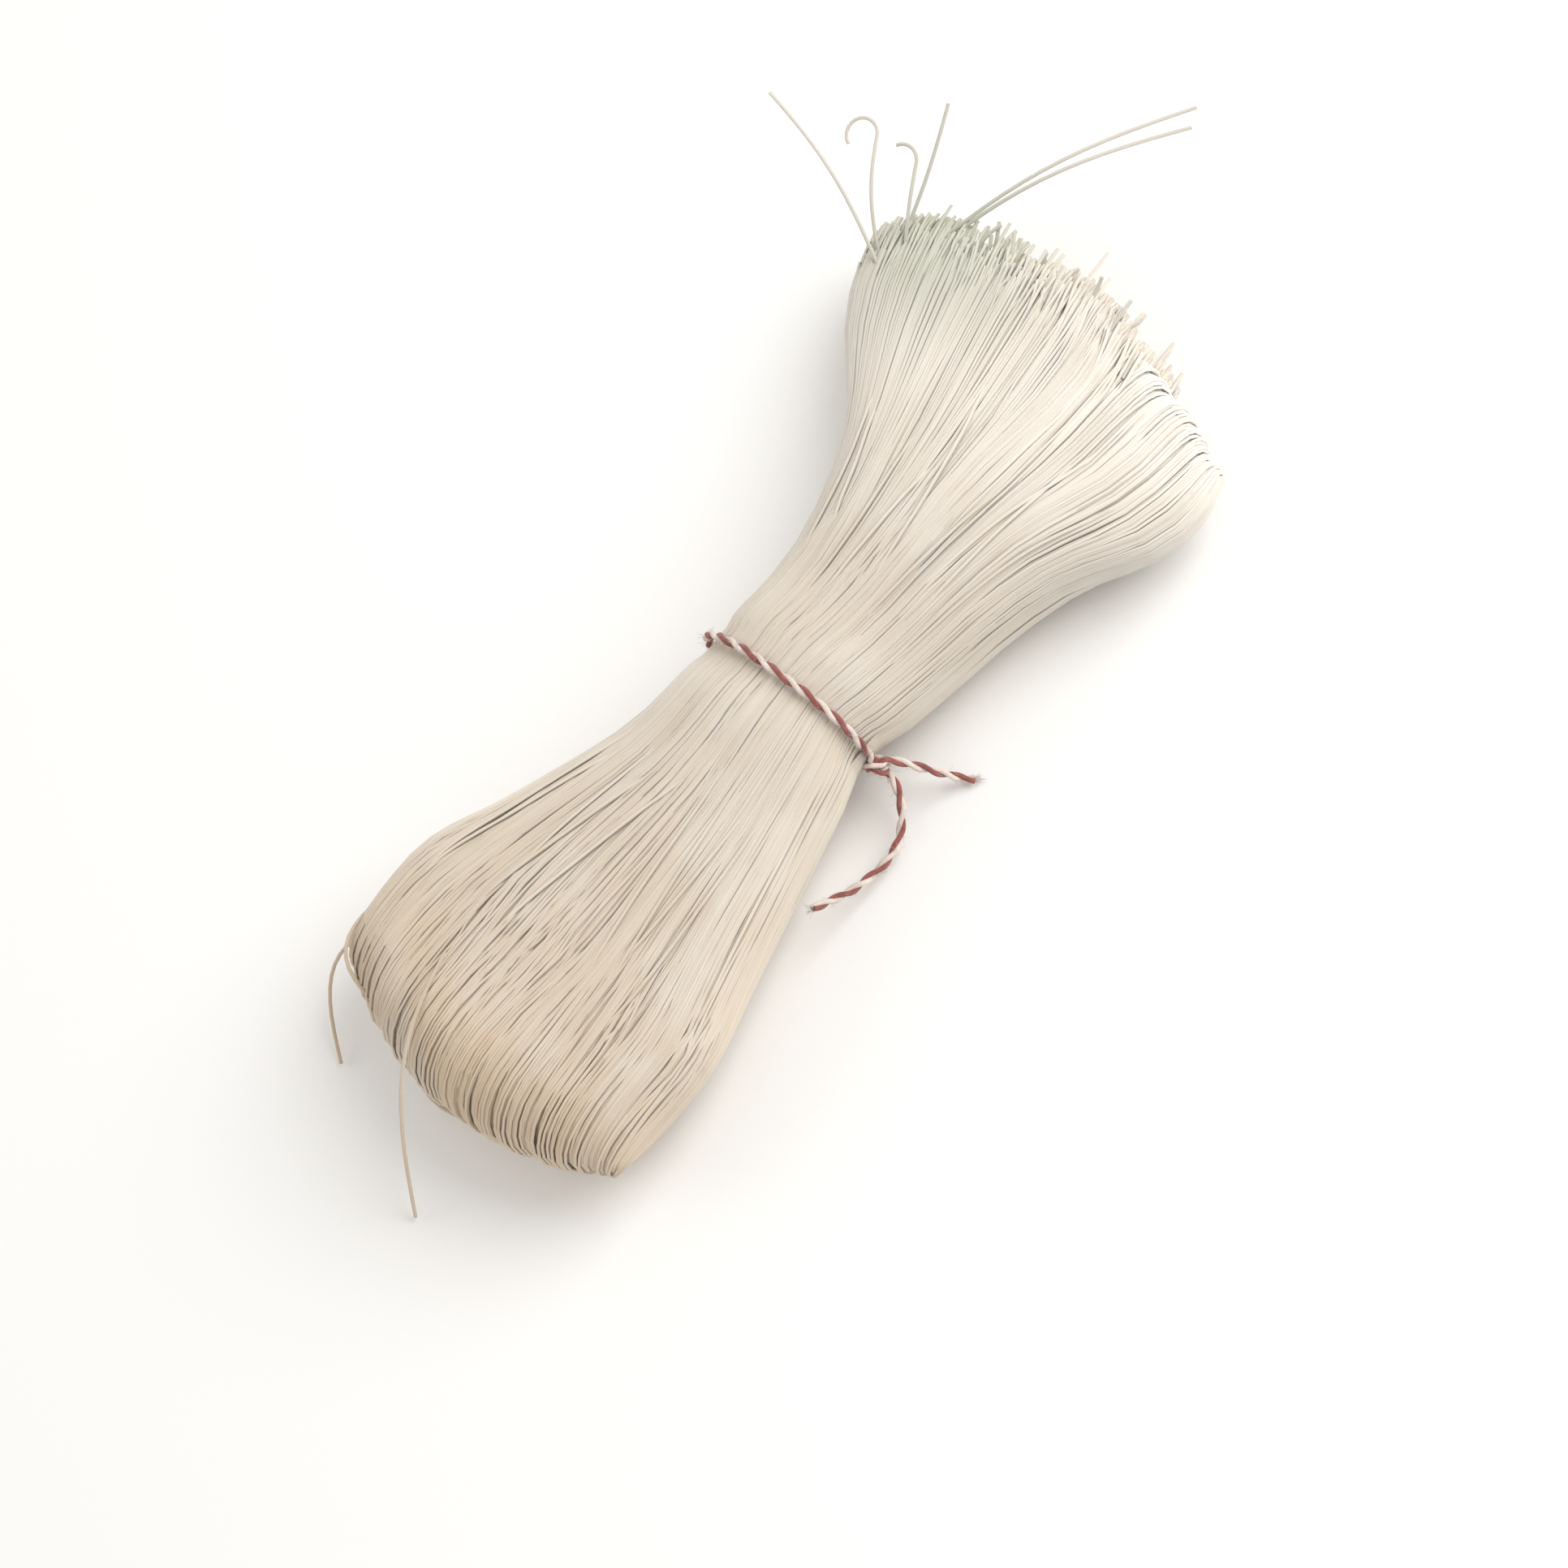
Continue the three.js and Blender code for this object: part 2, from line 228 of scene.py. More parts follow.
# Places along the hank where a noodle's path has its points.
FOLD_LOBE = np.linspace(-(FOLD_REACH - FOLD_NOSE), -17, 11)
WAIST = np.array([-12.5, -9, -6, -3.6, -1.3, 1.3, 3.6, 6, 9, 12.5])
FLARE_START = 80.0  # from here to the cut, a noodle of the cut lobe is free
CUT_LOBE = np.linspace(17, FLARE_START, 9)
TRESS_LOBE = np.linspace(17, CUT_REACH - TRESS_NOSE, 9)
CROWN_RISES = np.radians([75, 60, 45, 30, 15])  # of a folded end's quarter turn


class Noodle:
    """One noodle's own place and waviness: it keeps to one depth and drifts to and fro round the hank."""

    def __init__(self, turn, depth):
        self.turn = turn
        self.depth = depth
        self.sways = [
            (rng.normal(0, stray), rng.uniform(shortest, longest), rng.uniform(0, 7))
            for stray, shortest, longest in SWAYS
        ]
        self.heave = (rng.uniform(0.02, 0.1), rng.uniform(40, 90), rng.uniform(0, 7))
        self.reach = min(rng.normal(0, 0.5), 0.8)

    def sway(self, x):
        return sum(size * np.sin(2 * math.pi * x / length + start) for size, length, start in self.sways)

    def place(self, x, over):
        """(turn, sink) at x, on the upper side if over is 1 and on the under side if it is -1."""
        turn = self.turn
        radius = np.hypot(half_width(x) * np.sin(turn), half_thickness(x) * np.cos(turn)) + 4
        first, last = SIDES_DRAW_IN
        apart = over * (1 - smooth((np.abs(x) - first) / (last - first)))
        turn = turn + self.sway(x + SIDES_APART * apart) / radius
        spread = smooth(np.abs(x) / LOCKS_FULL)
        held = smooth(3 * math.sin(self.turn))  # at the hank's sides the two halves stay together
        size, length, start = self.heave
        sink = self.depth + size * (1 + np.sin(2 * math.pi * x / length + start))
        for locks, gathered, fall in LOCKS:
            phase = locks * (turn + 0.0012 * x * apart) + 1.4 * np.sin(2.3 * turn + 0.018 * x + apart)
            turn = turn + held * spread * gathered * np.sin(phase) / locks
            sink = sink + spread * fall * np.maximum(np.cos(phase), 0) ** 5
        return over * turn, sink


def along(noodle, stations, over):
    turn, sink = noodle.place(stations, over)
    return skin(stations, turn, sink)


def crown(noodle, end, nose, reach, over):
    """The quarter turn from the flat of a lobe to its very end, at the middle of its thickness."""
    radius = nose - noodle.depth
    tip = reach - noodle.depth + noodle.reach
    x = end * (tip - radius * (1 - np.cos(CROWN_RISES)))
    turn, sink = noodle.place(x, over)
    return skin(x, turn, sink, np.sin(CROWN_RISES))


def crown_tip(noodle, end, reach):
    x = np.array([end * (reach - noodle.depth + noodle.reach)])
    turn, sink = noodle.place(x, 1)
    return skin(x, turn, sink, 0.0)


def folded_end(noodle):
    """Down round the folded end, from the upper side to the under side."""
    down = crown(noodle, -1, FOLD_NOSE, FOLD_REACH, 1)
    up = crown(noodle, -1, FOLD_NOSE, FOLD_REACH, -1)
    return np.concatenate([down, crown_tip(noodle, -1, FOLD_REACH), up[::-1]])


def tress_end(noodle):
    """Up round the folded tress beside the cut ends, from the under side to the upper side."""
    up = crown(noodle, 1, TRESS_NOSE, CUT_REACH, -1)
    down = crown(noodle, 1, TRESS_NOSE, CUT_REACH, 1)
    return np.concatenate([up, crown_tip(noodle, 1, CUT_REACH), down[::-1]])


def free_end(noodle, over):
    """Out to the cut, where a noodle splays a little and one in twenty-five stands out."""
    stands_out = rng.uniform(2, 6) if rng.uniform() < 0.04 else 0
    cut = CUT_REACH + 2.2 * math.sin(7 * noodle.turn + 2 * over) + rng.normal(0, RAGGED)
    cut = min(cut, CUT_REACH + 3.5) + stands_out
    steps = np.linspace(0.2, 1, 5)
    x = mix(FLARE_START, cut, steps)
    turn, sink = noodle.place(x, over)
    turn = turn + rng.normal(0, 0.02) * steps**2
    splay = rng.uniform(-0.3, 1.0) * (1 if over > 0 else 0.2)
    lifted = splay * steps**2 * (1 + stands_out * 0.35)
    points = skin(x, turn, sink)
    points[:, 2] += np.where(over > 0, lifted, 0)
    return points


def open_noodle(noodle):
    """From the cut end over the top, round the fold, and back underneath to the cut end."""
    over_top = np.concatenate([FOLD_LOBE, WAIST, CUT_LOBE])
    return np.concatenate(
        [
            free_end(noodle, 1)[::-1],
            along(noodle, over_top[::-1], 1),
            folded_end(noodle),
            along(noodle, over_top, -1),
            free_end(noodle, -1),
        ]
    )


def looped_noodle(noodle):
    """A closed loop of the skein, folded at both ends. It is joined underneath, behind the twine."""
    over_top = np.concatenate([FOLD_LOBE, WAIST, TRESS_LOBE])
    under_start = np.concatenate([[-3.6, 3.6, 10], TRESS_LOBE])
    under_end = np.concatenate([FOLD_LOBE, [-10, -3.6, 3.6]])
    return np.concatenate(
        [
            along(noodle, under_start, -1),
            tress_end(noodle),
            along(noodle, over_top[::-1], 1),
            folded_end(noodle),
            along(noodle, under_end, -1),
        ]
    )


def bundle_paths():
    """The noodles of the outer layers, sorted into far side, middle and near side of the hank."""
    sides = {"far_side": [], "far_middle": [], "near_middle": [], "near_side": []}
    for layer, count in enumerate(NOODLES_IN_LAYER):
        for turn in turns_evenly_spread(count):
            depth = OUTER_DEPTH + LAYER_PITCH * layer + rng.uniform(0, 0.14)
            noodle = Noodle(turn, depth)
            across = across_of(turn)
            if across < TRESS_EDGE + rng.uniform(-0.03, 0.04):
                sides["near_side"].append(looped_noodle(noodle))
            elif across < 0.1:
                sides["near_middle"].append(open_noodle(noodle))
            elif across > 0.62:
                sides["far_side"].append(open_noodle(noodle))
            else:
                sides["far_middle"].append(open_noodle(noodle))
    return sides


def cut_face_paths():
    """The ends of the noodles inside the hank, closely packed in rows, which show in its cut face."""
    half_wide = half_width(CUT_REACH) - CORE_DEPTH
    half_thick = half_thickness(CUT_REACH) - CORE_DEPTH
    rows = int(half_thick / ROW_PITCH)
    columns = int(half_wide / CUT_FACE_PITCH)
    paths = []
    for row in range(-rows, rows + 1):
        for column in range(-columns, columns + 1):
            across = ((column + row % 2 / 2) * CUT_FACE_PITCH + rng.normal(0, 0.12)) / half_wide
            upward = (row * ROW_PITCH + rng.normal(0, 0.12)) / half_thick
            outward = (abs(across) ** SECTION_POWER + abs(upward) ** SECTION_POWER) ** (1 / SECTION_POWER)
            if outward > 1 or across < TRESS_EDGE + rng.normal(0.02, 0.02):
                continue
            paths.append(cut_end_path(across, upward, outward))
    return paths


def cut_end_path(across, upward, outward):
    """One short length that ends in the cut face. outward is 0 in the face's middle, 1 at its rim."""
    turn = math.atan2(*signed_power(np.array([upward, across]), SECTION_POWER / 2))
    cut = CUT_REACH + 1.2 * math.sin(5 * turn) + min(rng.normal(-0.6, 0.6 * RAGGED), 3)
    x = mix(CORE_END - 2, cut, np.array([0, 0.6, 1]))
    middle = skin(x, np.full(3, math.pi / 2), half_thickness(x))
    points = mix(middle, skin(x, np.full(3, turn), CORE_DEPTH - 0.4), outward)
    points[:, 0] = x - END_ARC * across**2
    points[:, 2] = np.maximum(points[:, 2], NOODLE_DIAMETER)
    return points


# Strays that stick out of the hank: root, tip, how far the middle bows across and up, and the angle
# in radians through which a curled one winds on past its tip.
STRAYS = (
    ((80, 36, 21), (132, 4, 28), (1.5, 4), 0),
    ((80, 36, 20), (129, 4, 25), (1.2, 5), 0),
    ((76, 42, 20), (90, 78, 32), (-2, 1), 0),
    ((76, 41, 18), (107, 44.5, 32), (-0.5, -1), 0),
    ((78, 37, 20), (95.5, 46, 26), (0, 1), 2),
    ((76, 42, 18), (96, 57, 26), (1, 2), 3.6),
    ((-68, 42, 16), (-91, 22, 20), (-10.5, 4), 0),
    ((-76, 40, 14), (-106, 38, 1), (-8, 3), 0),
    ((-74, 16, 31.5), (-118, 4, 1), (0, 11), 0),
    ((-86, 34, 9), (-90, -6, 7), (-11, -3), 0),
)


def stray_path(root, tip, bow, curl):
    root, tip = np.array(root, float), np.array(tip, float)
    way = tip - root
    across = np.array([-way[1], way[0], 0]) / math.hypot(way[0], way[1])
    share = np.linspace(0, 1, 15)[:, None]
    swell = np.sin(math.pi * share)
    stem = root + way * share + across * bow[0] * swell + np.array([0, 0, bow[1]]) * swell
    turn = np.linspace(0, curl, 12 if curl else 1)[1:, None]
    wound = tip + CURL_RADIUS * (unit(way) * np.sin(turn) + across * (1 - np.cos(turn)))
    return np.concatenate([stem, wound])


def loose_on_top():
    """Loose noodles that run over the top from the waist and dive back in near an end."""
    paths = []
    share = np.linspace(0, 1, 26)
    for i in range(LOOSE_ON_TOP):
        end = 1 if i % 2 else -1
        start_turn = math.pi * mix(0.24, 0.8, (i + rng.uniform(0.1, 0.9)) / LOOSE_ON_TOP)
        x = mix(end * rng.uniform(6, 30), end * rng.uniform(52, 80), share)
        turn = start_turn + rng.uniform(-0.07, 0.07) * math.pi * share
        sink = -0.12 + 2.2 * (2 * np.abs(share - 0.5)) ** 4
        paths.append(skin(x, turn, sink))
    return paths


def unit(vector):
    return vector / np.linalg.norm(vector)


def any_direction_across(heading):
    across = rng.normal(0, 1, 3)
    return unit(across - heading * across.dot(heading))


def curled_end(root, heading, length, curl):
    """A short end that leaves root in a heading and turns by curl, in radians for each millimetre."""
    steps = 9
    step = length / steps
    heading = unit(np.array(heading, float))
    turned = Matrix.Rotation(curl * step, 3, Vector(any_direction_across(heading)))
    points = [np.array(root, float)]
    for _ in range(steps):
        heading = np.array(turned @ Vector(heading))
        points.append(points[-1] + heading * step)
    points = np.array(points)
    points[:, 2] = np.maximum(points[:, 2], NOODLE_DIAMETER / 2)
    return points


def loose_end_paths():
    """Strays, and the curled ends that stand out along the rim of the cut end."""
    paths = [stray_path(*stray) for stray in STRAYS]
    for _ in range(RIM_ENDS):
        across = rng.uniform(TRESS_EDGE + 0.08, 0.97)
        turn = math.acos(signed_power(across, SECTION_POWER / 2))
        root = skin(CUT_REACH - 3, np.array(turn), rng.uniform(0.8, 3.0))
        heading = (1, across * 0.4 + rng.normal(0, 0.2), rng.uniform(-0.1, 0.35))
        paths.append(curled_end(root, heading, rng.uniform(5, 9.5), rng.normal(0, 0.05)))
    return paths


# ---- meshes from paths, by Geometry Nodes --------------------------------------------------------


def to_metres(points):
    return (np.asarray(points, float) - BOX_MIDDLE) * MM


def path_mesh(name, paths):
    """A mesh of bare edges, one chain of them for each path."""
    corners = np.concatenate([to_metres(path) for path in paths])
    edges = []
    start = 0
    for path in paths:
        count = len(path)
        chain = np.arange(start, start + count)
        edges.append(np.stack([chain[:-1], chain[1:]], axis=1))
        start += count
    mesh = bpy.data.meshes.new(name)
    mesh.from_pydata(corners.tolist(), np.concatenate(edges).tolist(), [])
    return mesh


def new_tree(name, inputs):
    """A Geometry Nodes tree with a Geometry input and output and these named inputs."""
    tree = bpy.data.node_groups.new(name, "GeometryNodeTree")
    tree.interface.new_socket("Geometry", in_out="INPUT", socket_type="NodeSocketGeometry")
    for socket_name, kind, value in inputs:
        socket = tree.interface.new_socket(socket_name, in_out="INPUT", socket_type=kind)
        if value is not None:
            socket.default_value = value
    tree.interface.new_socket("Geometry", in_out="OUTPUT", socket_type="NodeSocketGeometry")
    return tree, tree.nodes.new("NodeGroupInput"), tree.nodes.new("NodeGroupOutput")


def math_node(tree, operation, a, b=None):
    node = tree.nodes.new("ShaderNodeMath")
    node.operation = operation
    for socket, value in zip(node.inputs, (a, b)):
        if isinstance(value, bpy.types.NodeSocket):
            tree.links.new(value, socket)
        elif value is not None:
            socket.default_value = value
    return node.outputs[0]


def vector_node(tree, operation, a, b):
    """Vector maths, whose second value is a plain number where the operation is SCALE."""
    node = tree.nodes.new("ShaderNodeVectorMath")
    node.operation = operation
    tree.links.new(a, node.inputs[0])
    second = node.inputs["Scale"] if operation == "SCALE" else node.inputs[1]
    if isinstance(b, bpy.types.NodeSocket):
        tree.links.new(b, second)
    else:
        second.default_value = b
    return node.outputs["Value" if operation == "DISTANCE" else "Vector"]


def ramp(tree, value, start, end):
    """0 where the value is start, 1 where it is end, and smooth in between."""
    node = tree.nodes.new("ShaderNodeMapRange")
    node.interpolation_type = "SMOOTHSTEP"
    tree.links.new(value, node.inputs["Value"])
    node.inputs["From Min"].default_value = start
    node.inputs["From Max"].default_value = end
    return node.outputs["Result"]


def capture(tree, geometry, value, domain):
    """Keeps a field's value on the geometry. Gives the geometry and the kept value."""
    node = tree.nodes.new("GeometryNodeCaptureAttribute")
    node.domain = domain
    node.capture_items.new("FLOAT", "Kept")
    tree.links.new(geometry, node.inputs["Geometry"])
    tree.links.new(value, node.inputs["Kept"])
    return node.outputs["Geometry"], node.outputs["Kept"]


def store(tree, geometry, name, kind, value):
    node = tree.nodes.new("GeometryNodeStoreNamedAttribute")
    node.data_type = kind
    node.domain = "POINT"
    node.inputs["Name"].default_value = name
    tree.links.new(geometry, node.inputs["Geometry"])
    tree.links.new(value, node.inputs["Value"])
    return node.outputs["Geometry"]


def round_tube(tree, curves, radius, sides):
    """Curves to smooth round tubes with closed ends, which keep a `lay` attribute: the cosine and the
    sine of the angle round the tube, and the length along it in metres."""
    links = tree.links
    length = tree.nodes.new("GeometryNodeSplineParameter").outputs["Length"]
    curves, along_length = capture(tree, curves, length, "POINT")
    circle = tree.nodes.new("GeometryNodeCurvePrimitiveCircle")
    links.new(radius, circle.inputs["Radius"])
    links.new(sides, circle.inputs["Resolution"])
    factor = tree.nodes.new("GeometryNodeSplineParameter").outputs["Factor"]
    profile, around = capture(tree, circle.outputs["Curve"], factor, "POINT")
    tube = tree.nodes.new("GeometryNodeCurveToMesh")
    tube.inputs["Fill Caps"].default_value = True
    links.new(curves, tube.inputs["Curve"])
    links.new(profile, tube.inputs["Profile Curve"])
    angle = math_node(tree, "MULTIPLY", around, 2 * math.pi)
    lay = tree.nodes.new("ShaderNodeCombineXYZ")
    links.new(math_node(tree, "COSINE", angle), lay.inputs["X"])
    links.new(math_node(tree, "SINE", angle), lay.inputs["Y"])
    links.new(along_length, lay.inputs["Z"])
    meshed = store(tree, tube.outputs["Mesh"], "lay", "FLOAT_VECTOR", lay.outputs[0])
    smoothed = tree.nodes.new("GeometryNodeSetShadeSmooth")
    links.new(meshed, smoothed.inputs["Geometry"])
    return smoothed.outputs["Geometry"]


def end_tree(tree, geometry, material, result):
    """What every tree ends in: real geometry that wears its material."""
    realized = tree.nodes.new("GeometryNodeRealizeInstances")
    tree.links.new(geometry, realized.inputs["Geometry"])
    dressed = tree.nodes.new("GeometryNodeSetMaterial")
    tree.links.new(realized.outputs["Geometry"], dressed.inputs["Geometry"])
    tree.links.new(material, dressed.inputs["Material"])
    tree.links.new(dressed.outputs["Geometry"], result.inputs["Geometry"])


def face_of_hank(tree, core):
    """The normal of the hank's core nearest to a noodle, which fades where the noodle stands free."""
    core_mesh = tree.nodes.new("GeometryNodeObjectInfo")
    tree.links.new(core, core_mesh.inputs["Object"])
    nearest = tree.nodes.new("GeometryNodeSampleNearestSurface")
    nearest.data_type = "FLOAT_VECTOR"
    tree.links.new(core_mesh.outputs["Geometry"], nearest.inputs["Mesh"])
    tree.links.new(tree.nodes.new("GeometryNodeInputNormal").outputs["Normal"], nearest.inputs["Value"])
    gap = tree.nodes.new("GeometryNodeProximity")
    gap.target_element = "FACES"
    tree.links.new(core_mesh.outputs["Geometry"], gap.inputs[0])
    standing = ramp(tree, gap.outputs["Distance"], LYING_CLOSE * MM, STANDING_FREE * MM)
    lying = math_node(tree, "SUBTRACT", 1.0, standing)
    return vector_node(tree, "SCALE", nearest.outputs["Value"], lying)


def noodle_tree():
    """Noodles or fibres along paths, each with a thickness and a tint of its own."""
    tree, given, result = new_tree(
        "Noodles along paths",
        [
            ("Diameter", "NodeSocketFloat", NOODLE_DIAMETER * MM),
            ("Thinnest", "NodeSocketFloat", 0.86),
            ("Thickest", "NodeSocketFloat", 1.1),
            ("Sides", "NodeSocketInt", NOODLE_SIDES),
            ("Seed", "NodeSocketInt", 3),
            ("Core", "NodeSocketObject", None),
            ("Finish", "NodeSocketMaterial", None),
        ],
    )
    links = tree.links
    curves = tree.nodes.new("GeometryNodeMeshToCurve")
    links.new(given.outputs["Geometry"], curves.inputs["Mesh"])
    chance = tree.nodes.new("FunctionNodeRandomValue")
    links.new(given.outputs["Seed"], chance.inputs["Seed"])
    drawn, tint = capture(tree, curves.outputs["Curve"], chance.outputs["Value"], "CURVE")
    size = tree.nodes.new("ShaderNodeMapRange")
    links.new(tint, size.inputs["Value"])
    links.new(given.outputs["Thinnest"], size.inputs["To Min"])
    links.new(given.outputs["Thickest"], size.inputs["To Max"])
    sized = tree.nodes.new("GeometryNodeSetCurveRadius")
    links.new(drawn, sized.inputs["Curve"])
    links.new(size.outputs["Result"], sized.inputs["Radius"])
    radius = math_node(tree, "MULTIPLY", given.outputs["Diameter"], 0.5)
    tubes = round_tube(tree, sized.outputs["Curve"], radius, given.outputs["Sides"])
    tinted = store(tree, tubes, "noodle_tint", "FLOAT", tint)
    outward = face_of_hank(tree, given.outputs["Core"])
    noodles = store(tree, tinted, "outward", "FLOAT_VECTOR", outward)
    end_tree(tree, noodles, given.outputs["Finish"], result)
    return tree


def ply_tree():
    """One ply of a twine: a strand that winds round the twine's path."""
    tree, given, result = new_tree(
        "Ply round a path",
        [
            ("Ply Diameter", "NodeSocketFloat", PLY_DIAMETER * MM),
            ("Off Centre", "NodeSocketFloat", (TWINE_DIAMETER - PLY_DIAMETER) / 2 * MM),
            ("Lay", "NodeSocketFloat", TWINE_LAY * MM),
            ("Starting Turn", "NodeSocketFloat", 0.0),
            ("Step", "NodeSocketFloat", 0.0004),
            ("Sides", "NodeSocketInt", 12),
            ("Finish", "NodeSocketMaterial", None),
        ],
    )
    links = tree.links
    curves = tree.nodes.new("GeometryNodeMeshToCurve")
    links.new(given.outputs["Geometry"], curves.inputs["Mesh"])
    steps = tree.nodes.new("GeometryNodeResampleCurve")
    steps.mode = "LENGTH"
    links.new(curves.outputs["Curve"], steps.inputs["Curve"])
    links.new(given.outputs["Step"], steps.inputs["Length"])
    length = tree.nodes.new("GeometryNodeSplineParameter").outputs["Length"]
    laid = math_node(tree, "DIVIDE", length, given.outputs["Lay"])
    turns = math_node(tree, "ADD", laid, given.outputs["Starting Turn"])
    angle = math_node(tree, "MULTIPLY", turns, 2 * math.pi)
    normal = tree.nodes.new("GeometryNodeInputNormal").outputs["Normal"]
    tangent = tree.nodes.new("GeometryNodeInputTangent").outputs["Tangent"]
    side = vector_node(tree, "CROSS_PRODUCT", tangent, normal)
    pushes = []
    for direction, wave in ((normal, "COSINE"), (side, "SINE")):
        reach = math_node(tree, "MULTIPLY", math_node(tree, wave, angle), given.outputs["Off Centre"])
        pushes.append(vector_node(tree, "SCALE", direction, reach))
    wound = tree.nodes.new("GeometryNodeSetPosition")
    links.new(steps.outputs["Curve"], wound.inputs["Geometry"])
    links.new(vector_node(tree, "ADD", *pushes), wound.inputs["Offset"])
    radius = math_node(tree, "MULTIPLY", given.outputs["Ply Diameter"], 0.5)
    plies = round_tube(tree, wound.outputs["Geometry"], radius, given.outputs["Sides"])
    end_tree(tree, plies, given.outputs["Finish"], result)
    return tree


def grown_from(tree, name, mesh, values):
    """An object whose mesh is what the tree makes of the given one, with no modifier left on it."""
    piece = bpy.data.objects.new(name, mesh)
    bpy.context.scene.collection.objects.link(piece)
    modifier = piece.modifiers.new("Grow", "NODES")
    modifier.node_group = tree
    sockets = [item for item in tree.interface.items_tree if item.in_out == "INPUT"]
    identifiers = {socket.name: socket.identifier for socket in sockets}
    for socket_name, value in values.items():
        modifier[identifiers[socket_name]] = value
    bpy.context.view_layer.update()
    evaluated = piece.evaluated_get(bpy.context.evaluated_depsgraph_get())
    made = bpy.data.meshes.new_from_object(evaluated)
    made.name = name
    piece.modifiers.remove(modifier)
    piece.data = made
    return piece


# ---- materials -----------------------------------------------------------------------------------

CUT_STARCH = (0.89, 0.83, 0.75)
# darker and warmer than the cut end: painted shade and painted warm bounce light on the fold
FOLD_PAINTED_SHADE_AND_BOUNCE = (0.76, 0.64, 0.50)
FOLD_END_PAINTED_SHADE = (0.77, 0.52, 0.27)  # painted shade and painted warm bounce light at the very end of the fold
WAIST_PAINTED_SHADE = (0.70, 0.61, 0.49)  # painted shade in the waist
DULL_NOODLE = (0.78, 0.70, 0.59)
BRIGHT_NOODLE = (0.93, 0.88, 0.80)
PALE_PATCH = (0.93, 0.90, 0.85)
# painted grey-green shade, for the shaded depth seen through thin cut ends
GREY_GREEN_PAINTED_SHADE = (0.62, 0.64, 0.53)
CLEAR_STARCH = (0.60, 0.61, 0.57)
THIN_SPOT = (90, 34, 22)  # the corner of the cut end where few noodles lie over each other

# Two colours each: painted shade in the hollows and painted light on the ridges.
DEEP_STARCH_SHADED_AND_LIT = ((0.90, 0.81, 0.67), (0.96, 0.91, 0.82))
WHITE_COTTON_SHADED_AND_LIT = ((0.66, 0.52, 0.46), (0.88, 0.79, 0.72))
RED_COTTON_SHADED_AND_LIT = ((0.17, 0.045, 0.038), (0.42, 0.13, 0.105))


def new_material(name):
    material = bpy.data.materials.new(name)
    material.use_nodes = True
    return material, material.node_tree, material.node_tree.nodes["Principled BSDF"]


def new_group(name, inputs, outputs):
    """A shader node group with these inputs and outputs, each a name and a kind."""
    group = bpy.data.node_groups.new(name, "ShaderNodeTree")
    for direction, sockets in (("INPUT", inputs), ("OUTPUT", outputs)):
        for socket_name, kind in sockets:
            group.interface.new_socket(socket_name, in_out=direction, socket_type="NodeSocket" + kind)
    return group, group.nodes.new("NodeGroupInput"), group.nodes.new("NodeGroupOutput")


def placed_group(tree, group, values):
    """The group as a node of a material, with this material's own values."""
    node = tree.nodes.new("ShaderNodeGroup")
    node.node_tree = group
    for socket_name, value in values.items():
        node.inputs[socket_name].default_value = value
    return node


def object_place(tree):
    return tree.nodes.new("ShaderNodeTexCoord").outputs["Object"]


def attribute(tree, name):
    node = tree.nodes.new("ShaderNodeAttribute")
    node.attribute_name = name
    return node


def noise(tree, vector, scale, detail=3.0):
    node = tree.nodes.new("ShaderNodeTexNoise")
    node.inputs["Scale"].default_value = scale
    node.inputs["Detail"].default_value = detail
    tree.links.new(vector, node.inputs["Vector"])
    return node.outputs["Fac"]


def bumped(tree, height, strength, distance):
    """The normal of a surface with this relief on it."""
    node = tree.nodes.new("ShaderNodeBump")
    node.inputs["Strength"].default_value = strength
    node.inputs["Distance"].default_value = distance
    tree.links.new(height, node.inputs["Height"])
    return node.outputs["Normal"]


def colour_mix(tree, amount, a, b):
    """Mix of two colours, which a Mix node takes at its sockets 6 and 7."""
    node = tree.nodes.new("ShaderNodeMix")
    node.data_type = "RGBA"
    for socket, value in ((node.inputs[0], amount), (node.inputs[6], a), (node.inputs[7], b)):
        if isinstance(value, bpy.types.NodeSocket):
            tree.links.new(value, socket)
        elif isinstance(value, tuple):
            socket.default_value = (*value, 1)
        else:
            socket.default_value = value
    return node.outputs[2]


def part_mix(tree, mask, at_most, a, b):
    """Colour a, and where the mask is 1 as much of colour b as at_most says."""
    return colour_mix(tree, math_node(tree, "MULTIPLY", mask, at_most), a, b)


